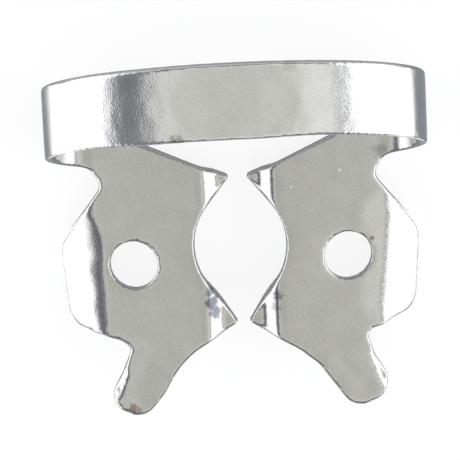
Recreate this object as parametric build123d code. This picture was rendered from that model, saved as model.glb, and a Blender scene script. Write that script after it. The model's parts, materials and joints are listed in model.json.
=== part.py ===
from build123d import *
import os
from math import atan2, cos, degrees, exp, pi, radians, sin, tan

# Rubber dam clamp: one blank stamped from spring steel sheet, bent into a bow with two jaws.
# Millimetres and degrees. While it is shaped, x runs across the clamp from jaw to jaw,
# y from the lobes of the jaws back to the bow, z up, with the forceps holes at y = 0 and
# the top of the sheet at the holes at z = 0. At the end it is laid down as it rests.

# Sheet
sheet_thickness = 0.62
edge_break = 0.08

# Forceps holes
hole_spacing = 13.05
hole_diameter = 2.9
hole_edge_break = 0.14

# Jaws
jaw_slope = 8.0
jaw_reach = 9.45
front_tip_gap = 0.86
back_tip_gap = 1.1
tooth_arch_radius = 4.0

# Prongs that grip the tooth, stepped down below the jaw
prong_fold_spacing = 5.1
prong_slope = 42.0
prong_tip_slope = 6.0
prong_fold_radius = 1.0
prong_flank_length = 0.4
prong_tip_length = 2.4

# Wings at the cheek side of the jaws, folded down to hold the dam
wing_fold_spacing = 16.7
wing_fold_turn = 5.0
wing_slope = 34.0
wing_fold_radius = 2.4
wing_flat_length = 1.9
wing_front_round = 1.3

# Bow: how wide and high it is, how far its crown is behind the holes, and how it leans back
bow_width = 22.9
bow_height = 8.0
bow_reach = 9.56
bow_lean = 20.8
strip_width = 4.48
foot_radius = 1.9

# The strip narrows towards the jaw by these amounts, which fade out over these lengths
neck_flare = 0.6
neck_flare_length = 0.34
heel_flare = 0.35
heel_flare_length = 0.3

# Corners beside each neck, from where its edges meet the bow's foot: across, along and radius
waist_corner = (0.42, 0.61, 0.68)
heel_corner = (2.41, 2.53, 3.2)

# Corners of one jaw's outline, from its forceps hole, as shares of the jaw's reach: across,
# along and the corner's radius. A prong tip's place across follows its gap, so it has two shares.
back_tip_shares = (0.561, 0.024)
front_tip_shares = (-0.415, 0.024)
arch_corner_shares = (-0.3, 0.1445)
lobe_shares = [
    (-0.2945, -0.634, 0.42),
    (-0.0135, -1.0455, 0.112),
    (0.255, -0.9205, 0.112),
    (0.05, -0.508, 0.078),
]
wing_corner_shares = [(0.575, -0.394, 0), (0.491, 0.126, 0.12)]

# How many points shape each foot and half the arch, how far cutting shapes overrun the sheet,
# from what angle an edge counts as sharp, and how often the rest is worked out anew
foot_sections = 12
arch_sections = 16
overrun = 3.0
sharp_angle = 20
rest_rounds = 6

hole_x = hole_spacing / 2
bow_half = bow_width / 2
slope = radians(jaw_slope)
jaw_plane = Plane(
    origin=(hole_x, 0, 0), x_dir=(cos(slope), 0, -sin(slope)), z_dir=(sin(slope), 0, cos(slope))
)

# The foot of the bow curves up from the jaw: its bend starts this far from the hole, about a
# centre one foot radius above the jaw, and ends upright at the bow's full width.
foot_outer_radius = foot_radius + sheet_thickness
foot_start = (bow_half - foot_outer_radius - hole_x - foot_radius * sin(slope)) / cos(slope)
foot_centre_height = foot_radius * cos(slope) - foot_start * sin(slope)
bow_rise = bow_height - foot_centre_height


def from_hole(distance_from_middle):
    """Distance along the sloping jaw, from the hole, of what lies this far from the middle."""
    return (distance_from_middle - hole_x) / cos(slope)


def strip_edges(height, along_foot):
    """Front and back edge of the bow's strip, at a height of its outer face and a way up a foot."""
    front = bow_reach - (bow_height - height) * tan(radians(bow_lean))
    front_edge = front - neck_flare * exp(-along_foot / neck_flare_length)
    back_edge = front + strip_width - heel_flare * exp(-along_foot / heel_flare_length)
    return front_edge, back_edge


def foot_point(angle):
    """Outer face of the right foot, by its angle: less than zero below the centre."""
    x = bow_half - foot_outer_radius * (1 - cos(radians(angle)))
    return Vector(x, 0, foot_centre_height + foot_outer_radius * sin(radians(angle)))


def neck_edges():
    """Front and back edge of the strip where the jaw runs into the bow's foot."""
    return strip_edges(foot_point(-90 - jaw_slope).Z, 0)


def rounded_face(corners, radii):
    """Flat polygon whose corners are rounded, each by its own radius."""
    outline = make_face(Polyline(*corners, close=True))
    for point, radius in zip(corners, radii):
        if radius > 0:
            outline = fillet(outline.vertices().sort_by_distance(Vector(*point))[0], radius)
    return outline


def jaw_outline():
    """Flat outline of the right jaw up to the foot of the bow, from its forceps hole."""
    neck_front, neck_back = neck_edges()
    outline = [
        (from_hole(front_tip_gap / 2), front_tip_shares[0] * jaw_reach, front_tip_shares[1] * jaw_reach),
        (arch_corner_shares[0] * jaw_reach, arch_corner_shares[1] * jaw_reach, tooth_arch_radius),
        (from_hole(back_tip_gap / 2), back_tip_shares[0] * jaw_reach, back_tip_shares[1] * jaw_reach),
        (foot_start - heel_corner[0], neck_back - heel_corner[1], heel_corner[2]),
        (foot_start, neck_back, 0),
        (foot_start, neck_front, 0),
        (foot_start - waist_corner[0], neck_front - waist_corner[1], waist_corner[2]),
    ]
    for across, along, radius in wing_corner_shares[::-1] + lobe_shares[::-1]:
        outline.append((across * jaw_reach, along * jaw_reach, radius * jaw_reach))
    return rounded_face([corner[:2] for corner in outline], [corner[2] for corner in outline])


def region(low_x, high_x, low_y, high_y):
    """Flat rectangle between these limits."""
    width, length = high_x - low_x, high_y - low_y
    return Pos(low_x + width / 2, low_y + length / 2) * Rectangle(width, length)


def upright(face, low, high):
    """Solid over a flat face, between two heights."""
    return extrude(Pos(0, 0, low) * face, amount=high - low, dir=(0, 0, 1))


def folded_sheet(steps, width):
    """Sheet that starts flat at the origin and runs along x, its top at z = 0 there.

    A step is (length,) for a flat run, or (radius, turn) for a bend whose turn in degrees is
    positive upwards, the radius being that of the sheet's top.
    """
    point, angle, edges = Vector(0, 0), 0, []
    for step in steps:
        heading = Vector(cos(radians(angle)), sin(radians(angle)))
        if len(step) == 1:
            edges.append(Line(point, point + heading * step[0]))
        else:
            edges.append(JernArc(point, heading, *step))
            angle += step[1]
        point = edges[-1] @ 1
    section = make_face(offset(Wire(edges), amount=sheet_thickness, side=Side.RIGHT, closed=True))
    return extrude(Plane.XZ * section, amount=width / 2, both=True)


def make_prongs(outline, zone):
    """The two prongs of the right jaw: folded down from it, then nearly flat to their tips."""
    steps = [
        (prong_fold_radius, -prong_slope),
        (prong_flank_length,),
        (prong_fold_radius, prong_slope - prong_tip_slope),
        (prong_tip_length,),
    ]
    sheet = Pos(from_hole(prong_fold_spacing / 2), 0, 0) * Rot(0, 0, 180) * folded_sheet(steps, 2 * jaw_reach)
    return sheet & upright(outline & zone, -overrun, overrun)


def make_wing(outline, zone, place):
    """The wing of the right jaw, folded down."""
    steps = [(wing_fold_radius, -wing_slope), (wing_flat_length,)]
    return place * folded_sheet(steps, 2 * jaw_reach) & upright(outline & zone, -overrun, overrun)


def make_jaw():
    """Right jaw, from its forceps hole: flat plate, the two prongs and the folded wing."""
    outline = jaw_outline()
    far = 2 * jaw_reach
    prong_zone = region(-far, from_hole(prong_fold_spacing / 2), -far, far)
    wing_place = Pos(from_hole(wing_fold_spacing / 2), 0) * Rot(0, 0, -wing_fold_turn)
    waist_y = neck_edges()[0] - waist_corner[1]
    notch_y = lobe_shares[-1][1] * jaw_reach
    wing_zone = wing_place * region(0, far, -far, far) & region(0, far, notch_y, waist_y)
    plate = upright(outline - prong_zone - wing_zone, -sheet_thickness, 0)
    return plate + make_prongs(outline, prong_zone) + make_wing(outline, wing_zone, wing_place)


def foot_stations():
    """Right foot, from the flat of the jaw up: point of the outer face, way it faces, way up."""
    turn = 90 + jaw_slope
    stations = []
    for step in range(foot_sections):
        angle = turn * step / foot_sections - turn
        facing = Vector(cos(radians(angle)), 0, sin(radians(angle)))
        stations.append((foot_point(angle), facing, radians(turn + angle) * foot_outer_radius))
    return stations


def arch_stations():
    """Right half of the arch, from the foot to the crown, as a foot's stations are given."""
    stations = []
    for step in range(arch_sections + 1):
        angle = pi / 2 * step / arch_sections
        point = Vector(bow_half * cos(angle), 0, foot_centre_height + bow_rise * sin(angle))
        facing = Vector(cos(angle) / bow_half, 0, sin(angle) / bow_rise).normalized()
        stations.append((point, facing, bow_height))
    return stations


def strip_line(depth, back):
    """One long edge of the strip from the right foot to the left, this deep below its outer face."""
    points = []
    for point, facing, along in foot_stations() + arch_stations():
        points.append(point - facing * depth + Vector(0, strip_edges(point.Z, along)[back], 0))
    points += [Vector(-point.X, point.Y, point.Z) for point in reversed(points[:-1])]
    widening = [neck_flare / neck_flare_length, heel_flare / heel_flare_length][back]
    run = 1 - depth / foot_outer_radius
    spread = widening - sin(slope) * tan(radians(bow_lean))
    start = Vector(run * cos(slope), spread, -run * sin(slope)).normalized()
    end = Vector(start.X, -start.Y, -start.Z)
    return Spline(*points, tangents=[start, end], tangent_scalars=[1, 1])


def make_bow():
    """Bow: a strip of an elliptical arch that leans back, its feet curving in to the jaws."""
    corners = [(0, 0), (0, 1), (sheet_thickness, 1), (sheet_thickness, 0)]
    lines = [strip_line(depth, back) for depth, back in corners]
    faces = []
    for line, next_line in zip(lines, lines[1:] + lines[:1]):
        faces.append(Face.make_surface_from_curves(line.edge(), next_line.edge()))
    for end in (0, 1):
        faces.append(make_face(Polyline(*[line @ end for line in lines], close=True)).face())
    return Solid(Shell(faces))


def sharp_edges(solid):
    """Edges at which the two faces turn by more than the sharp angle, the holes' rims apart."""
    faces_at = {}
    for face in solid.faces():
        for edge in face.edges():
            faces_at.setdefault(edge, []).append(face)
    sharp = []
    for edge, faces in faces_at.items():
        normals = [face.normal_at(edge @ 0.5) for face in faces]
        is_rim = edge.geom_type == GeomType.CIRCLE and edge.is_closed
        if len(normals) == 2 and not is_rim and normals[0].get_angle(normals[1]) > sharp_angle:
            sharp.append(edge)
    return sharp


def wing_corner(jaw):
    """Edge through the sheet at the front corner of the wing's end, nearest to where that is."""
    reach = wing_fold_radius * sin(radians(wing_slope)) + wing_flat_length * cos(radians(wing_slope))
    across = from_hole(wing_fold_spacing / 2) + reach
    corner = jaw_plane.from_local_coords(Vector(across, wing_corner_shares[0][1] * jaw_reach))
    through = [edge for edge in jaw.edges().filter_by(GeomType.LINE) if edge.length < 1.5 * sheet_thickness]
    return min(through, key=lambda edge: (edge.center() - corner).length)


def make_right():
    """Right jaw in its place, the front corner of its wing rounded, with its forceps hole."""
    jaw = (jaw_plane.location * make_jaw()).solid()
    jaw = jaw.fillet(wing_front_round, [wing_corner(jaw)])
    hole = jaw_plane.location * Cylinder(hole_diameter / 2, 2 * overrun)
    rim_radius = hole_diameter / 2 + hole_edge_break
    top_rim = jaw_plane.location * Cone(hole_diameter / 2 - hole_edge_break, rim_radius, 2 * hole_edge_break)
    under = jaw_plane.location * Pos(0, 0, -sheet_thickness)
    bottom_rim = under * Cone(rim_radius, hole_diameter / 2 - hole_edge_break, 2 * hole_edge_break)
    return jaw - hole - top_rim - bottom_rim


def make_clamp():
    """The whole clamp, its edges broken by tumbling, in the place it is shaped in."""
    jaw = make_right()
    clamp = (jaw + mirror(jaw, Plane.YZ) + make_bow()).solid()
    return clamp.chamfer(edge_break, None, sharp_edges(clamp))


def resting_place(clamp):
    """Where it rests on a table at z = 0: tipped back until wings and heels are level."""
    points = clamp.tessellate(edge_break / 10)[0]
    centre = clamp.center().Y
    tilt = 0
    for _ in range(rest_rounds):
        points.sort(key=lambda point: point.Z * cos(tilt) - point.Y * sin(tilt))
        front = next(point for point in points if point.Y < centre)
        back = next(point for point in points if point.Y > centre)
        tilt = atan2(back.Z - front.Z, back.Y - front.Y)
    tipped = Rot(-degrees(tilt), 0, 0)
    box = (tipped * clamp).bounding_box()
    return Pos(0, -box.center().Y, -box.min.Z) * tipped


def write_part():
    os.makedirs("parts", exist_ok=True)
    clamp = make_clamp()
    export_step(resting_place(clamp) * clamp, "parts/dam_clamp.step")


if __name__ == "__main__":
    write_part()
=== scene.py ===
"""Looks of a winged dam clamp: polished spring steel, lying as it rests on a pale studio floor."""

import json
import logging
import math
from dataclasses import dataclass
from enum import Enum

import bpy
from mathutils import Matrix, Vector

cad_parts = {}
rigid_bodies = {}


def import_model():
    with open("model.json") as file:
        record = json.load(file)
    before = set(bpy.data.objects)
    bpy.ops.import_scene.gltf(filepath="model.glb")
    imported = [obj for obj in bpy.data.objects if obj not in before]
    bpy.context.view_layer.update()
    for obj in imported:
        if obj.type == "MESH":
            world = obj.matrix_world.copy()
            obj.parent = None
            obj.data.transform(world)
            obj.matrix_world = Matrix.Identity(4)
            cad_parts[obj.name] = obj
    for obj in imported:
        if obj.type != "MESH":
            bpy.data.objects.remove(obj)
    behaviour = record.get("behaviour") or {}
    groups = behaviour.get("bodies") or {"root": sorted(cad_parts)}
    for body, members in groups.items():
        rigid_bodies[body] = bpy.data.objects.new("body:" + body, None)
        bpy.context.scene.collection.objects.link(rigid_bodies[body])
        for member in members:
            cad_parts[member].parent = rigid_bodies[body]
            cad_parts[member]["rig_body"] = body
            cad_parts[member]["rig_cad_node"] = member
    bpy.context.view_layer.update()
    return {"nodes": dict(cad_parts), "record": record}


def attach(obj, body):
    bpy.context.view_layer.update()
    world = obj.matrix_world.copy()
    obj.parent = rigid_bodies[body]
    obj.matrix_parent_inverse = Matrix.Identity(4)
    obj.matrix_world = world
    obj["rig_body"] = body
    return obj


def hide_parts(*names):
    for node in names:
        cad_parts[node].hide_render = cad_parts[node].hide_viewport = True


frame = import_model()

MM = 0.001
NODE = "dam_clamp"
BODY = "root"
RIM = "rim"
WHITE = (1.0, 1.0, 1.0)

# Square of a length, in square metres, that stands in for a line of no length
POINT = 1e-9

# Level of noise at its middle, and how many finer layers the grain, the waves and a stain's edge have
NOISE_MIDDLE = 0.5
GRAIN_DETAIL = 2.0
WAVE_DETAIL = 1.0
RAG_DETAIL = 3.0

# Waves of a spot's ragged edge to its radius, and how far they move it, as a share of the radius
RAG_WAVES = 1.6
RAG_DEPTH = 1.6

# Distance from a spot's middle, waves added, in radii: where it starts to show, and where it is full
STAIN_OR_LIGHT_START = 1.75
STAIN_OR_LIGHT_FULL = 1.25

Socket = bpy.types.NodeSocket
Triple = tuple[float, float, float]

log =logging.getLogger("dam_clamp")


class Ray(Enum):
    """Kinds of ray that a studio surface tells apart."""

    CAMERA = "Is Camera Ray"
    GLOSSY = "Is Glossy Ray"


def deselect_all() -> None:
    """Leaves nothing selected, so that an operator acts only on what is chosen next."""
    bpy.ops.object.select_all(action="DESELECT")


def choose(piece: bpy.types.Object) -> None:
    """Selects one object and makes it the active one.

    Args:
        piece: The object that the next operators act on.
    """
    deselect_all()
    piece.select_set(True)
    bpy.context.view_layer.objects.active = piece


class Graph:
    """Adds nodes to a node tree and wires them, left to right.

    Attributes:
        COLUMN_WIDTH: How far right of the last node the next one stands.
        ROW_HEIGHT: How far apart the rows are.
        ROWS: How many rows the nodes take in turn.
        MIX_COLOURS: Numbers of the Mix node's two colour inputs.
        MIX_RESULT: Number of its colour output.
    """

    COLUMN_WIDTH = 40
    ROW_HEIGHT = 160
    ROWS = 5
    MIX_COLOURS = (6, 7)
    MIX_RESULT = 2

    def __init__(self, tree: bpy.types.NodeTree) -> None:
        """Starts on a tree, and empties it.

        Args:
            tree: The node tree of a material, a world or a group.
        """
        self.tree = tree
        self.tree.nodes.clear()
        self.column = 0

    def add(self, kind: str, inputs: dict | None = None, **settings) -> bpy.types.Node:
        """Adds one node.

        Args:
            kind: The node's type, such as ShaderNodeMath.
            inputs: Socket name or number to a value, or to the socket that feeds it.
            **settings: Properties of the node itself.

        Returns:
            The new node.
        """
        node = self.tree.nodes.new(kind)
        node.location = (self.column * self.COLUMN_WIDTH, -(self.column % self.ROWS) * self.ROW_HEIGHT)
        self.column += 1
        for name, value in settings.items():
            setattr(node, name, value)
        for name, value in (inputs or {}).items():
            if isinstance(value, Socket):
                self.tree.links.new(value, node.inputs[name])
            else:
                node.inputs[name].default_value = value
        return node

    def math(self, operation: str, *values: float | Socket) -> Socket:
        """Works out one number from others.

        Args:
            operation: The Math node's operation.
            *values: Numbers or sockets, in the node's order.

        Returns:
            The socket that holds the result.
        """
        return self.add("ShaderNodeMath", dict(enumerate(values)), operation=operation).outputs[0]

    def vector(self, operation: str, *values: Vector | Socket) -> bpy.types.Node:
        """Works out a vector, or a number, from vectors.

        Args:
            operation: The Vector Math node's operation.
            *values: Vectors or sockets, in the node's order.

        Returns:
            The node, whose outputs are Vector and Value.
        """
        return self.add("ShaderNodeVectorMath", dict(enumerate(values)), operation=operation)

    def step(self, value: Socket, low: float | Socket, high: float | Socket) -> Socket:
        """Rises softly from 0 to 1.

        Args:
            value: The socket that is looked at.
            low: Where the rise starts.
            high: Where it ends.

        Returns:
            The socket that holds the share, from 0 to 1.
        """
        inputs = {"Value": value, "From Min": low, "From Max": high}
        return self.add("ShaderNodeMapRange", inputs, interpolation_type="SMOOTHSTEP").outputs["Result"]

    def noise(self, place: Socket, scale: Socket, detail: float) -> Socket:
        """Adds noise of one size.

        Args:
            place: Where it is read.
            scale: How many waves it has to a metre.
            detail: How many finer layers it has.

        Returns:
            The socket that holds its level.
        """
        inputs = {"Vector": place, "Scale": scale, "Detail": detail}
        return self.add("ShaderNodeTexNoise", inputs).outputs["Fac"]

    def mix(self, share: Socket, first: Triple | Socket, second: Triple | Socket) -> Socket:
        """Mixes two colours.

        Args:
            share: How much of the second colour, from 0 to 1.
            first: A colour or a socket.
            second: A colour or a socket.

        Returns:
            The socket that holds the colour.
        """
        node = self.add("ShaderNodeMix", {0: share}, data_type="RGBA")
        for number, value in zip(self.MIX_COLOURS, (first, second)):
            if isinstance(value, Socket):
                self.tree.links.new(value, node.inputs[number])
            else:
                node.inputs[number].default_value = (*value, 1)
        return node.outputs[self.MIX_RESULT]


class Tint(Enum):
    """Colours of the spots on the steel: rust is the steel's own colour, the others are painted light
    and shade.
    """

    RUST = (0.21, 0.15, 0.09)
    # Painted dark reflection: a bluish dark that stands in for the dark which the sheet's bends mirror
    SCUFF = (0.12, 0.13, 0.165)
    # Painted glint: near white that stands in for a catch of light
    GLEAM = (0.95, 0.95, 0.94)


@dataclass(frozen=True)
class StainOrPaintedLight:
    """A small spot on the steel: a spot of rust, a painted dark reflection or a painted glint.

    Attributes:
        place: Where its middle is, in millimetres.
        radius: How far it reaches, in millimetres.
        strength: How much of the steel it hides, from 0 to 1.
        tint: Its colour, which tells rust from a painted dark reflection and from a painted glint.
    """

    place: Triple
    radius: float
    strength: float
    tint: Tint = Tint.RUST


@dataclass(frozen=True)
class Nudge:
    """A soft push on the sheet along a short line, as by a bender's pliers.

    Attributes:
        start: Where the line starts, in millimetres.
        end: Where it ends, in millimetres.
        shift: How far the sheet goes there, in millimetres.
        reach: How far round it the sheet follows, in millimetres.
        grip: How wide the pliers hold it, in millimetres.
    """

    start: Triple
    end: Triple
    shift: Triple
    reach: float
    grip: float = 0.3


@dataclass(frozen=True)
class Ease:
    """A stretch of a fold that is rounder than a sharp bend.

    Attributes:
        start: Where the stretch starts, in millimetres.
        end: Where it ends, in millimetres.
        reach: How far to each side it is rounded, in millimetres.
        passes: How many times it is rubbed.
    """

    start: Triple
    end: Triple
    reach: float
    passes: int


@dataclass(frozen=True)
class SteelFinishAndPaintedLight:
    """Spring steel, tumbled and polished, with fine grain, a faint mottle, a few rust spots, painted
    dark reflections, painted glints, and painted light that makes the bow lighter than the jaws.

    Attributes:
        shaded_jaw_colour: Colour of the jaws: the steel with painted shade, darker than the bow.
        lit_bow_colour: Colour of the bow: the same steel with painted light, lighter than the jaws.
        jaw_top: Height up to which all is of the jaws' colour, in millimetres.
        bow_base: Height from which all is of the bow's colour, in millimetres.
        roughness: Roughness where the waves are at their middle.
        roughness_spread: How much the waves change it.
        grain_size: Size of the fine grain, in millimetres.
        grain_depth: Its depth, in millimetres.
        wave_size: Size of the slow waves, in millimetres.
        wave_depth: Their depth, in millimetres.
        mottle: How much the grain changes the colour, as a share of it.
        clouding: How much the waves change the colour, as a share of it.
        stains_and_painted_light: The rust spots, painted dark reflections and painted glints on the
            steel.
    """

    shaded_jaw_colour: Triple = (0.56, 0.553, 0.52)
    lit_bow_colour: Triple = (0.714, 0.708, 0.68)
    jaw_top: float = 4.4
    bow_base: float = 6.0
    roughness: float = 0.15
    roughness_spread: float = 0.06
    grain_size: float = 0.1
    grain_depth: float = 0.008
    wave_size: float = 1.3
    wave_depth: float = 0.007
    mottle: float = 0.32
    clouding: float = 0.14
    stains_and_painted_light: tuple[StainOrPaintedLight, ...] = ()

    def build(self) -> bpy.types.Material:
        """Makes the material.

        Returns:
            The steel, read from Object coordinates.
        """
        material = bpy.data.materials.new("polished_spring_steel_with_painted_light")
        material.use_nodes = True
        graph = Graph(material.node_tree)
        place = graph.add("ShaderNodeTexCoord").outputs["Object"]
        grain = graph.add("ShaderNodeGroup", {
            "Place": place,
            "Grain size": self.grain_size * MM,
            "Grain depth": self.grain_depth,
            "Wave size": self.wave_size * MM,
            "Wave depth": self.wave_depth,
        }, node_tree=grain_group()).outputs
        bump = graph.add(
            "ShaderNodeBump", {"Strength": 1.0, "Distance": MM, "Height": grain["Height"]}
        )
        height = graph.add("ShaderNodeSeparateXYZ", {"Vector": place}).outputs["Z"]
        # Painted light and shade: the bow is given a lighter colour than the jaws, though the sheet is
        # one steel
        on_bow = graph.step(height, self.jaw_top * MM, self.bow_base * MM)
        lit_and_shaded_colour = graph.mix(on_bow, self.shaded_jaw_colour, self.lit_bow_colour)
        clouded = graph.math("MULTIPLY_ADD", grain["Cloud"], self.clouding, 1.0)
        tone = graph.math("MULTIPLY_ADD", grain["Speck"], self.mottle, clouded)
        colour = graph.add(
            "ShaderNodeVectorMath", {0: lit_and_shaded_colour, "Scale": tone}, operation="SCALE"
        ).outputs["Vector"]
        # Rust spots, painted dark reflections and painted glints, mixed into the colour one by one
        spot = stain_or_light_group()
        for stain_or_light in self.stains_and_painted_light:
            mark = graph.add("ShaderNodeGroup", {
                "Place": place,
                "Centre": Vector(stain_or_light.place) * MM,
                "Radius": stain_or_light.radius * MM,
                "Strength": stain_or_light.strength,
            }, node_tree=spot)
            colour = graph.mix(mark.outputs["Mask"], colour, stain_or_light.tint.value)
        roughness = graph.math("MULTIPLY_ADD", grain["Cloud"], self.roughness_spread, self.roughness)
        shader = graph.add("ShaderNodeBsdfPrincipled", {
            "Base Color": colour,
            "Metallic": 1.0,
            "Roughness": roughness,
            "Normal": bump.outputs["Normal"],
        })
        graph.add("ShaderNodeOutputMaterial", {"Surface": shader.outputs["BSDF"]})
        return material


def new_group(name: str, inputs: dict[str, str], outputs: dict[str, str]) -> bpy.types.NodeTree:
    """Starts a shader node group.

    Args:
        name: The group's name.
        inputs: Input name to socket type.
        outputs: Output name to socket type.

    Returns:
        The group's tree, with its sockets.
    """
    tree = bpy.data.node_groups.new(name, "ShaderNodeTree")
    for label, kind in inputs.items():
        tree.interface.new_socket(label, in_out="INPUT", socket_type=kind)
    for label, kind in outputs.items():
        tree.interface.new_socket(label, in_out="OUTPUT", socket_type=kind)
    return tree


def grain_group() -> bpy.types.NodeTree:
    """Builds the relief of tumbled steel: fine grain, a slow waviness, and both for its tone.

    Returns:
        The group. It puts out Height, in millimetres, and Cloud and Speck, from -0.5 to 0.5.
    """
    number = "NodeSocketFloat"
    inputs = {"Place": "NodeSocketVector", "Grain size": number, "Grain depth": number,
              "Wave size": number, "Wave depth": number}
    outputs = {"Height": number, "Cloud": number, "Speck": number}
    tree = new_group("tumbled_grain", inputs, outputs)
    graph = Graph(tree)
    entry = graph.add("NodeGroupInput").outputs
    fine_scale = graph.math("DIVIDE", 1.0, entry["Grain size"])
    slow_scale = graph.math("DIVIDE", 1.0, entry["Wave size"])
    fine = graph.noise(entry["Place"], fine_scale, GRAIN_DETAIL)
    slow = graph.noise(entry["Place"], slow_scale, WAVE_DETAIL)
    fine_height = graph.math("MULTIPLY", fine, entry["Grain depth"])
    slow_height = graph.math("MULTIPLY", slow, entry["Wave depth"])
    graph.add("NodeGroupOutput", {
        "Height": graph.math("ADD", fine_height, slow_height),
        "Cloud": graph.math("SUBTRACT", slow, NOISE_MIDDLE),
        "Speck": graph.math("SUBTRACT", fine, NOISE_MIDDLE),
    })
    return tree


def stain_or_light_group() -> bpy.types.NodeTree:
    """Builds one ragged spot round a centre, for rust, a painted dark reflection or a painted glint.

    Returns:
        The group. It puts out Mask, from 0 to 1.
    """
    number = "NodeSocketFloat"
    inputs = {"Place": "NodeSocketVector", "Centre": "NodeSocketVector", "Radius": number,
              "Strength": number}
    tree = new_group("ragged_rust_or_painted_light_spot", inputs, {"Mask": number})
    graph = Graph(tree)
    entry = graph.add("NodeGroupInput").outputs
    away = graph.vector("DISTANCE", entry["Place"], entry["Centre"]).outputs["Value"]
    share = graph.math("DIVIDE", away, entry["Radius"])
    rag_scale = graph.math("DIVIDE", RAG_WAVES, entry["Radius"])
    rag = graph.noise(entry["Place"], rag_scale, RAG_DETAIL)
    ragged = graph.math("MULTIPLY_ADD", rag, RAG_DEPTH, share)
    mask = graph.step(ragged, STAIN_OR_LIGHT_START, STAIN_OR_LIGHT_FULL)
    graph.add("NodeGroupOutput", {"Mask": graph.math("MULTIPLY", mask, entry["Strength"])})
    return tree


@dataclass
class Clamp:
    """The clamp's one piece of sheet, with its edges as smooth as tumbling leaves them.

    Attributes:
        weld: Corners nearer than this are one, in millimetres.
        grid: Size of the even mesh that the shape is made of anew, in millimetres.
        tumbling: How many times the even mesh is rubbed smooth.
        rim_turn: From what turn an edge of the even mesh is at the sheet's rim, in degrees.
        rim_fade: How many times the rim's share is spread inwards.
        rim_drop: How far each face of the sheet sinks at its rim, in millimetres, at most.
        rub_share: How far one rub of a fold takes a corner to the middle of its neighbours.
        nudges: The pushes that bring it to its worked form.
        eases: The stretches of its folds that are rounded.
    """

    weld: float = 0.001
    grid: float = 0.12
    tumbling: int = 6
    rim_turn: float = 30.0
    rim_fade: int = 45
    rim_drop: float = 0.08
    rub_share: float = 0.5
    nudges: tuple[Nudge, ...] = ()
    eases: tuple[Ease, ...] = ()

    def build(self) -> bpy.types.Object:
        """Makes the shown piece from the node's own shape.

        Returns:
            The piece, smooth over its bends and its broken edges.
        """
        choose(frame["nodes"][NODE])
        bpy.ops.object.duplicate()
        piece = bpy.context.view_layer.objects.active
        piece.parent = None
        piece.name = "clamp_sheet"
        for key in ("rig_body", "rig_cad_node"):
            del piece[key]
        piece.data.materials.clear()
        choose(piece)
        bpy.ops.object.mode_set(mode="EDIT")
        bpy.ops.mesh.select_all(action="SELECT")
        bpy.ops.mesh.remove_doubles(threshold=self.weld * MM)
        bpy.ops.object.mode_set(mode="OBJECT")
        bpy.ops.mesh.customdata_custom_splitnormals_clear()
        even = piece.modifiers.new("even_mesh", "REMESH")
        even.mode = "VOXEL"
        even.voxel_size = self.grid * MM
        bpy.ops.object.modifier_apply(modifier=even.name)
        for nudge in self.nudges:
            self.push(piece, nudge)
        for ease in self.eases:
            self.round_fold(piece, ease)
        self.ease_rims(piece)
        rubbed = piece.modifiers.new("tumbled_edges", "SMOOTH")
        rubbed.iterations = self.tumbling
        bpy.ops.object.modifier_apply(modifier=rubbed.name)
        bpy.ops.object.shade_smooth()
        return piece

    def select_near(self, piece: bpy.types.Object, stretch: Nudge | Ease, reach: float) -> None:
        """Selects the corners of the mesh near a line, and stays in edit mode.

        Args:
            piece: The even mesh.
            stretch: What holds the line's start and end.
            reach: How near they are, in millimetres.
        """
        bpy.ops.object.mode_set(mode="EDIT")
        bpy.ops.mesh.select_mode(type="VERT")
        bpy.ops.mesh.select_all(action="DESELECT")
        bpy.ops.object.mode_set(mode="OBJECT")
        start = Vector(stretch.start) * MM
        along = Vector(stretch.end) * MM - start
        span = max(along.length_squared, POINT)
        for vertex in piece.data.vertices:
            away = vertex.co - start
            share = min(max(away.dot(along) / span, 0.0), 1.0)
            vertex.select = (away - along * share).length < reach * MM
        bpy.ops.object.mode_set(mode="EDIT")

    def round_fold(self, piece: bpy.types.Object, ease: Ease) -> None:
        """Rubs one stretch of a fold rounder.

        Args:
            piece: The even mesh.
            ease: Where, how wide and how often.
        """
        self.select_near(piece, ease, ease.reach)
        bpy.ops.mesh.vertices_smooth(factor=self.rub_share, repeat=ease.passes)
        bpy.ops.object.mode_set(mode="OBJECT")

    def push(self, piece: bpy.types.Object, nudge: Nudge) -> None:
        """Pushes the sheet along one line, and what is round it less and less.

        Args:
            piece: The even mesh.
            nudge: Where, how far and how wide.
        """
        self.select_near(piece, nudge, nudge.grip)
        bpy.ops.transform.translate(
            value=Vector(nudge.shift) * MM,
            use_proportional_edit=True,
            proportional_edit_falloff="SMOOTH",
            proportional_size=nudge.reach * MM,
        )
        bpy.ops.object.mode_set(mode="OBJECT")

    def ease_rims(self, piece: bpy.types.Object) -> None:
        """Lets both faces of the sheet sink softly towards its rims.

        Args:
            piece: The even mesh.
        """
        everywhere = range(len(piece.data.vertices))
        piece.vertex_groups.new(name=RIM).add(everywhere, 0.0, "REPLACE")
        bpy.ops.object.mode_set(mode="EDIT")
        bpy.ops.mesh.select_mode(type="EDGE")
        bpy.ops.mesh.select_all(action="DESELECT")
        bpy.ops.mesh.edges_select_sharp(sharpness=math.radians(self.rim_turn))
        bpy.ops.object.vertex_group_assign()
        bpy.ops.object.mode_set(mode="WEIGHT_PAINT")
        bpy.ops.object.vertex_group_smooth(group_select_mode="ACTIVE", factor=1.0, repeat=self.rim_fade)
        bpy.ops.object.mode_set(mode="OBJECT")
        sunk = piece.modifiers.new("sunk_rims", "DISPLACE")
        sunk.direction = "NORMAL"
        sunk.mid_level = 0.0
        sunk.strength = -self.rim_drop * MM
        sunk.vertex_group = RIM
        bpy.ops.object.modifier_apply(modifier=sunk.name)
        piece.vertex_groups.clear()

    def dress(self, piece: bpy.types.Object, finish_and_painted_light: SteelFinishAndPaintedLight) -> None:
        """Gives the piece its steel and its place in the frame.

        Args:
            piece: What build made.
            finish_and_painted_light: The steel, with its painted light and shade.
        """
        piece.data.materials.append(finish_and_painted_light.build())
        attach(piece, BODY)
        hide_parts(NODE)


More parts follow.
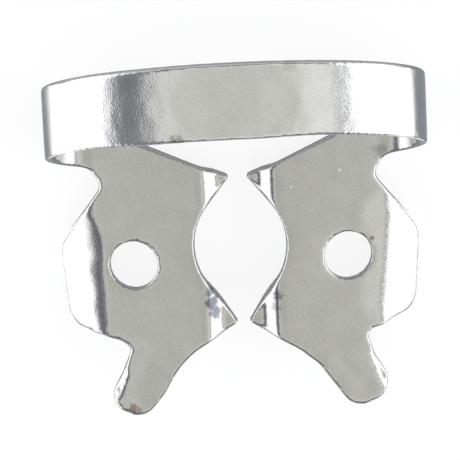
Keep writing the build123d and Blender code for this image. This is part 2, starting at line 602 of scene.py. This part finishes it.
@dataclass
class Viewpoint:
    """The camera, set out from the forceps holes.

    Attributes:
        lean: How far it leans back from square above the jaws, in degrees.
        roll: How far the picture is turned, in degrees.
        distance: From the camera to the holes, in millimetres.
        pixels_per_mm: Scale of the picture at the holes.
        picture: Width and height of the picture, in pixels.
        holes_pixel: Where the point midway between the holes is seen.
        sensor: Width of the camera's sensor, in millimetres.
        clip_range: The camera sees from the distance over this to the distance times this.
    """

    lean: float = 15.0
    roll: float = 2.7
    distance: float = 250.0
    pixels_per_mm: float = 16.5
    picture: tuple[int, int] = (460, 460)
    holes_pixel: tuple[float, float] = (241.15, 260.35)
    sensor: float = 36.0
    clip_range: float = 10.0

    def build(self) -> bpy.types.Object:
        """Makes the camera.

        Returns:
            The camera, at the photograph's angle.
        """
        mounts = frame["record"]["mounts"]
        middle = Vector()
        normal = Vector()
        for mount in mounts:
            axis = Vector(mount["axis"])
            middle += (Vector(mount["pos_m"]) + axis * mount["dims"]["length_mm"] * MM / 2) / len(mounts)
            normal += axis
        tilt = math.atan2(normal.y, normal.z) + math.radians(self.lean)
        back = Vector((0, math.sin(tilt), math.cos(tilt)))
        ahead = Vector((0, math.cos(tilt), -math.sin(tilt)))
        turn = math.radians(self.roll)
        right = Vector((1, 0, 0)) * math.cos(turn) - ahead * math.sin(turn)
        up = Vector((1, 0, 0)) * math.sin(turn) + ahead * math.cos(turn)
        off_x = (self.holes_pixel[0] - self.picture[0] / 2) / self.pixels_per_mm * MM
        off_y = (self.holes_pixel[1] - self.picture[1] / 2) / self.pixels_per_mm * MM
        data = bpy.data.cameras.new("studio_camera")
        data.sensor_width = self.sensor
        data.lens = self.distance * self.pixels_per_mm * self.sensor / self.picture[0]
        data.clip_start = self.distance * MM / self.clip_range
        data.clip_end = self.distance * MM * self.clip_range
        camera = bpy.data.objects.new("studio_camera", data)
        bpy.context.scene.collection.objects.link(camera)
        camera.location = middle + back * self.distance * MM - right * off_x + up * off_y
        rotation = [[right[i], up[i], back[i]] for i in range(3)]
        camera.rotation_mode = "QUATERNION"
        camera.rotation_quaternion = Matrix(rotation).to_quaternion()
        bpy.context.scene.camera = camera
        return camera


@dataclass(frozen=True)
class Studio:
    """White tent round the object, open at its top, over a pale floor.

    The steel mirrors the tent by direction alone. From straight up outwards that is the ceiling in the
    tent's opening, the opening's dark rim and the tent's wall. Lengths are in millimetres, angles in
    degrees from straight up, colours are levels of light. How far a direction is to the back or to the
    right goes from -1 to 1, whatever its height.

    Attributes:
        floor_size: Side of the floor.
        floor_colour: Its own colour.
        floor_lift: Light that it adds where the camera sees it.
        ceiling: Light from straight above.
        ceiling_side: Light of the ceiling away from its middle.
        rim: Light of the opening's rim.
        tent: Light of the tent's wall at the sides.
        tent_back: Light of the wall at the back.
        tent_front: Light of the wall at the front.
        side_start: Angle where the ceiling starts to turn to its side's light.
        side_end: Angle where it has turned.
        opening_left: Angle where the opening ends on the left.
        opening_right: Angle where it ends on the right.
        rim_width_left: Width of the rim on the left.
        rim_width_right: Its width on the right.
        rim_width_back: Its least width at the back and at the front.
        soft: Half the angle over which an edge of the rim fades.
        soft_outside: The same for the rim's outer edge on the left.
        back_from: How far to the back a direction is where the back's light starts.
        back_full: How far it is where that light is full.
        front_from: The same start for the front.
        front_full: The same end for the front.
        left_from: How far to the right a direction is where the left starts.
        left_full: How far it is where the left is full.
        least_level: Least level share of a direction, so that straight up divides by no zero.
        under: Light of the floor's dark oval, as the steel mirrors it: a painted shadow of the object,
            shown to glossy rays only.
        under_middle: That oval's middle.
        under_size: Half its width and half its length. The third only has to differ from 0.
        under_fade: How far an oval's edge fades to each side, as a share of its size.
        beside_middle: Middle of the bright oval on the right, which has its twin on the left, where the
            painted shadow is left out.
        beside_size: Half its width and half its length. The third only has to differ from 0.
        floor_back_start: How far back the floor starts to turn to the light of the tent's back.
        floor_back_end: How far back it has turned.
    """

    floor_size: float = 1200.0
    floor_colour: Triple = (0.22, 0.22, 0.22)
    floor_lift: float = 0.84
    ceiling: Triple = (0.71, 0.715, 0.70)
    ceiling_side: Triple = (1.05, 1.06, 1.05)
    rim: Triple = (0.215, 0.225, 0.26)
    tent: Triple = (1.9, 1.93, 2.03)
    tent_back: Triple = (0.66, 0.67, 0.68)
    tent_front: Triple = (0.28, 0.30, 0.33)
    side_start: float = 12.0
    side_end: float = 36.0
    opening_left: float = 31.0
    opening_right: float = 40.0
    rim_width_left: float = 20.0
    rim_width_right: float = 5.0
    rim_width_back: float = 22.0
    soft: float = 1.0
    soft_outside: float = 4.5
    back_from: float = 0.3
    back_full: float = 0.8
    front_from: float = -0.5
    front_full: float = -0.85
    left_from: float = 0.55
    left_full: float = -0.75
    least_level: float = 0.001
    under: Triple = (0.38, 0.40, 0.45)
    under_middle: Triple = (3.5, -18.0, 0.0)
    under_size: Triple = (24.5, 46.0, 1.0)
    under_fade: float = 0.12
    beside_middle: Triple = (12.4, -4.2, 0.0)
    beside_size: Triple = (2.2, 4.8, 1.0)
    floor_back_start: float = 8.0
    floor_back_end: float = 11.0

    def build_world(self) -> None:
        """Makes the light from all round, and the white behind the object."""
        world = bpy.data.worlds.new("studio_tent")
        world.use_nodes = True
        bpy.context.scene.world = world
        graph = Graph(world.node_tree)
        way = graph.add("ShaderNodeTexCoord").outputs["Generated"]
        parts = graph.add("ShaderNodeSeparateXYZ", {"Vector": way}).outputs
        angle = graph.math("ARCCOSINE", parts["Z"])
        from_top = graph.math("DEGREES", angle)
        level = graph.math("MAXIMUM", graph.math("SINE", angle), self.least_level)
        to_right = graph.math("DIVIDE", parts["X"], level)
        to_back = graph.math("DIVIDE", parts["Y"], level)
        at_back = graph.step(to_back, self.back_from, self.back_full)
        at_front = graph.step(to_back, self.front_from, self.front_full)
        brighter = graph.step(from_top, self.side_start, self.side_end)
        ceiling = graph.mix(brighter, self.ceiling, self.ceiling_side)
        ends = graph.math("MAXIMUM", at_back, at_front)
        leftness = graph.step(to_right, self.left_from, self.left_full)
        opening = graph.math(
            "MULTIPLY_ADD", leftness, self.opening_left - self.opening_right, self.opening_right
        )
        past_opening = graph.math("SUBTRACT", from_top, opening)
        opened = graph.step(past_opening, -self.soft, self.soft)
        spread = self.rim_width_left - self.rim_width_right
        sides = graph.math("MULTIPLY_ADD", leftness, spread, self.rim_width_right)
        width = graph.math("MAXIMUM", sides, graph.math("MULTIPLY", ends, self.rim_width_back))
        past_rim = graph.math("SUBTRACT", past_opening, width)
        fade = graph.math("MULTIPLY_ADD", leftness, self.soft_outside - self.soft, self.soft)
        tented = graph.step(past_rim, graph.math("MULTIPLY", fade, -1.0), fade)
        tent = graph.mix(at_back, graph.mix(at_front, self.tent, self.tent_front), self.tent_back)
        inner = graph.mix(opened, ceiling, self.rim)
        light = graph.mix(tented, inner, tent)
        ray = graph.add("ShaderNodeLightPath").outputs
        shown = graph.mix(ray[Ray.CAMERA.value], light, WHITE)
        background = graph.add("ShaderNodeBackground", {"Color": shown, "Strength": 1.0})
        graph.add("ShaderNodeOutputWorld", {"Surface": background.outputs["Background"]})

    def past_oval(self, graph: Graph, place: Socket, middle: Triple, size: Triple) -> Socket:
        """Tells how far a place is outside an oval on the floor.

        Args:
            graph: The floor's graph.
            place: The socket of the place.
            middle: The oval's middle, in millimetres.
            size: Half its width, half its length and a third that isn't 0, in millimetres.

        Returns:
            The socket that rises from 0 inside the oval to 1 outside it.
        """
        from_middle = graph.vector("SUBTRACT", place, Vector(middle) * MM).outputs["Vector"]
        shares = graph.vector("DIVIDE", from_middle, Vector(size) * MM).outputs["Vector"]
        away = graph.vector("LENGTH", shares).outputs["Value"]
        return graph.step(away, 1.0 - self.under_fade, 1.0 + self.under_fade)

    def build_floor(self) -> bpy.types.Object:
        """Makes the floor that the object lies on.

        Returns:
            The floor.
        """
        deselect_all()
        bpy.ops.mesh.primitive_plane_add(size=self.floor_size * MM, location=(0, 0, 0))
        floor = bpy.context.view_layer.objects.active
        floor.name = "floor"
        material = bpy.data.materials.new("pale_floor")
        material.use_nodes = True
        material.cycles.emission_sampling = "NONE"
        graph = Graph(material.node_tree)
        ray = graph.add("ShaderNodeLightPath").outputs
        lit = graph.add("ShaderNodeBsdfDiffuse", {"Color": (*self.floor_colour, 1)})
        lift = graph.add("ShaderNodeEmission", {"Color": (*WHITE, 1), "Strength": self.floor_lift})
        shown = graph.add("ShaderNodeAddShader", {0: lit.outputs[0], 1: lift.outputs[0]})
        camera_share = graph.add(
            "ShaderNodeMixShader", {0: ray[Ray.CAMERA.value], 1: lit.outputs[0], 2: shown.outputs[0]}
        )
        place = graph.add("ShaderNodeTexCoord").outputs["Object"]
        parts = graph.add("ShaderNodeSeparateXYZ", {"Vector": place}).outputs
        either_side = graph.math("ABSOLUTE", parts["X"])
        folded = graph.add(
            "ShaderNodeCombineXYZ", {"X": either_side, "Y": parts["Y"], "Z": parts["Z"]}
        ).outputs["Vector"]
        # Painted shadow: the steel mirrors a dark oval of floor under the object, left out in two ovals
        # beside it
        beyond_under = self.past_oval(graph, place, self.under_middle, self.under_size)
        beyond_beside = self.past_oval(graph, folded, self.beside_middle, self.beside_size)
        beside = graph.math("SUBTRACT", 1.0, beyond_beside)
        outward = graph.math("MAXIMUM", beyond_under, beside)
        behind = graph.step(parts["Y"], self.floor_back_start * MM, self.floor_back_end * MM)
        beyond = graph.mix(behind, self.tent, self.tent_back)
        seen = graph.mix(outward, self.under, beyond)
        mirrored = graph.add("ShaderNodeEmission", {"Color": seen, "Strength": 1.0})
        both = graph.add(
            "ShaderNodeMixShader",
            {0: ray[Ray.GLOSSY.value], 1: camera_share.outputs[0], 2: mirrored.outputs[0]},
        )
        graph.add("ShaderNodeOutputMaterial", {"Surface": both.outputs[0]})
        floor.data.materials.append(material)
        return floor


STAINS_AND_PAINTED_LIGHT = (
    # Rust on the left lobe, beside the right hole and on the bow
    StainOrPaintedLight((-6.97, -11.75, 4.22), 0.36, 0.7),
    StainOrPaintedLight((-6.6, -11.85, 4.27), 0.2, 0.6),
    StainOrPaintedLight((8.0, -1.93, 2.33), 0.2, 0.9),
    StainOrPaintedLight((-3.4, 7.75, 8.6), 0.6, 0.55),
    StainOrPaintedLight((3.33, 11.96, 7.98), 0.5, 0.2),
    # Painted dark reflections on the front prongs and on the right foot, dark spots where the bent sheet
    # mirrors the dark
    StainOrPaintedLight((-1.95, -4.45, 3.4), 0.45, 0.75, Tint.SCUFF),
    StainOrPaintedLight((-1.85, -5.15, 3.48), 0.55, 0.85, Tint.SCUFF),
    StainOrPaintedLight((-1.7, -5.85, 3.52), 0.5, 0.8, Tint.SCUFF),
    StainOrPaintedLight((2.1, -4.9, 3.6), 0.4, 0.65, Tint.SCUFF),
    StainOrPaintedLight((2.0, -5.6, 3.6), 0.36, 0.5, Tint.SCUFF),
    StainOrPaintedLight((8.75, 3.45, 1.35), 0.6, 0.4, Tint.SCUFF),
    # Painted glints: bright specks on the right jaw
    StainOrPaintedLight((6.17, 2.48, 1.85), 0.12, 0.8, Tint.GLEAM),
    StainOrPaintedLight((3.2, 1.75, 2.4), 0.1, 0.7, Tint.GLEAM),
)

EASES = (
    # The left wing's fold
    Ease((-8.85, -1.2, 1.95), (-8.72, -6.5, 2.95), 0.48, 60),
)

NUDGES = (
    # The bow's crown, forwards
    Nudge((-5.0, 8.3, 8.2), (0.5, 8.2, 8.9), (0.0, -0.15, 0.0), 4.5),
    # The ends of the left wing's fold
    Nudge((-9.05, -0.9, 1.95), (-9.0, -2.2, 2.15), (0.24, 0.0, 0.03), 0.95),
    Nudge((-8.6, -5.8, 2.85), (-8.5, -6.8, 3.0), (-0.16, 0.0, -0.02), 1.0),
    # The left lobe
    Nudge((-7.0, -10.8, 4.1), (-7.0, -10.8, 4.1), (0.32, 0.0, 0.05), 2.6),
    Nudge((-7.75, -7.9, 3.3), (-7.75, -7.9, 3.3), (0.36, 0.0, 0.05), 1.6),
    Nudge((-7.25, -8.4, 3.55), (-7.5, -9.0, 3.7), (0.3, 0.0, 0.0), 1.3),
    Nudge((-8.2, -10.7, 4.0), (-8.2, -10.3, 3.9), (0.2, 0.0, 0.0), 1.3),
    Nudge((-7.4, -12.0, 4.3), (-7.0, -12.1, 4.3), (-0.05, -0.05, 0.03), 1.2),
    Nudge((-6.1, -11.9, 4.3), (-6.1, -11.9, 4.3), (0.02, 0.12, 0.03), 1.1),
    Nudge((-3.9, -8.95, 4.17), (-4.8, -10.3, 4.25), (0.1, -0.05, 0.0), 1.4),
    Nudge((-7.25, -7.5, 3.4), (-7.6, -7.4, 3.35), (0.0, -0.12, 0.02), 0.9),
    # The right lobe
    Nudge((7.6, -8.2, 3.4), (7.6, -8.2, 3.4), (0.3, 0.1, -0.04), 1.4),
    Nudge((8.1, -10.2, 3.9), (8.1, -10.2, 3.9), (0.25, 0.0, -0.03), 1.5),
    Nudge((7.9, -12.0, 4.15), (7.9, -12.0, 4.15), (0.2, -0.02, 0.04), 1.3),
    Nudge((4.7, -9.9, 4.22), (6.1, -11.7, 4.34), (0.13, 0.14, 0.0), 1.3),
    Nudge((7.9, -7.2, 3.28), (8.2, -7.1, 3.2), (0.04, -0.15, 0.02), 0.8),
    # Creases along the outer edges of the lobes
    Nudge((-7.6, -9.6, 3.76), (-8.08, -10.9, 3.92), (0.0, 0.0, -0.13), 0.3, 0.16),
    Nudge((8.0, -9.2, 3.58), (8.62, -10.9, 3.84), (0.0, 0.0, -0.13), 0.3, 0.16),
    # The right wing, downwards
    Nudge((9.3, -0.6, 1.8), (9.05, -5.8, 2.75), (0.0, 0.0, -0.14), 1.9),
)


def main() -> None:
    """Builds the clamp, its studio and its camera, in that order."""
    logging.basicConfig(level=logging.INFO, format="%(name)s: %(message)s")
    clamp = Clamp(nudges=NUDGES, eases=EASES)
    piece = clamp.build()
    clamp.dress(piece, SteelFinishAndPaintedLight(stains_and_painted_light=STAINS_AND_PAINTED_LIGHT))
    log.info("%s has %d faces", piece.name, len(piece.data.polygons))
    studio = Studio()
    studio.build_world()
    log.info("floor %s", studio.build_floor().name)
    camera = Viewpoint().build()
    log.info("camera at %s", [round(value / MM, 1) for value in camera.location])
    bpy.context.scene.view_settings.view_transform = "Standard"


if __name__ == "__main__":
    main()
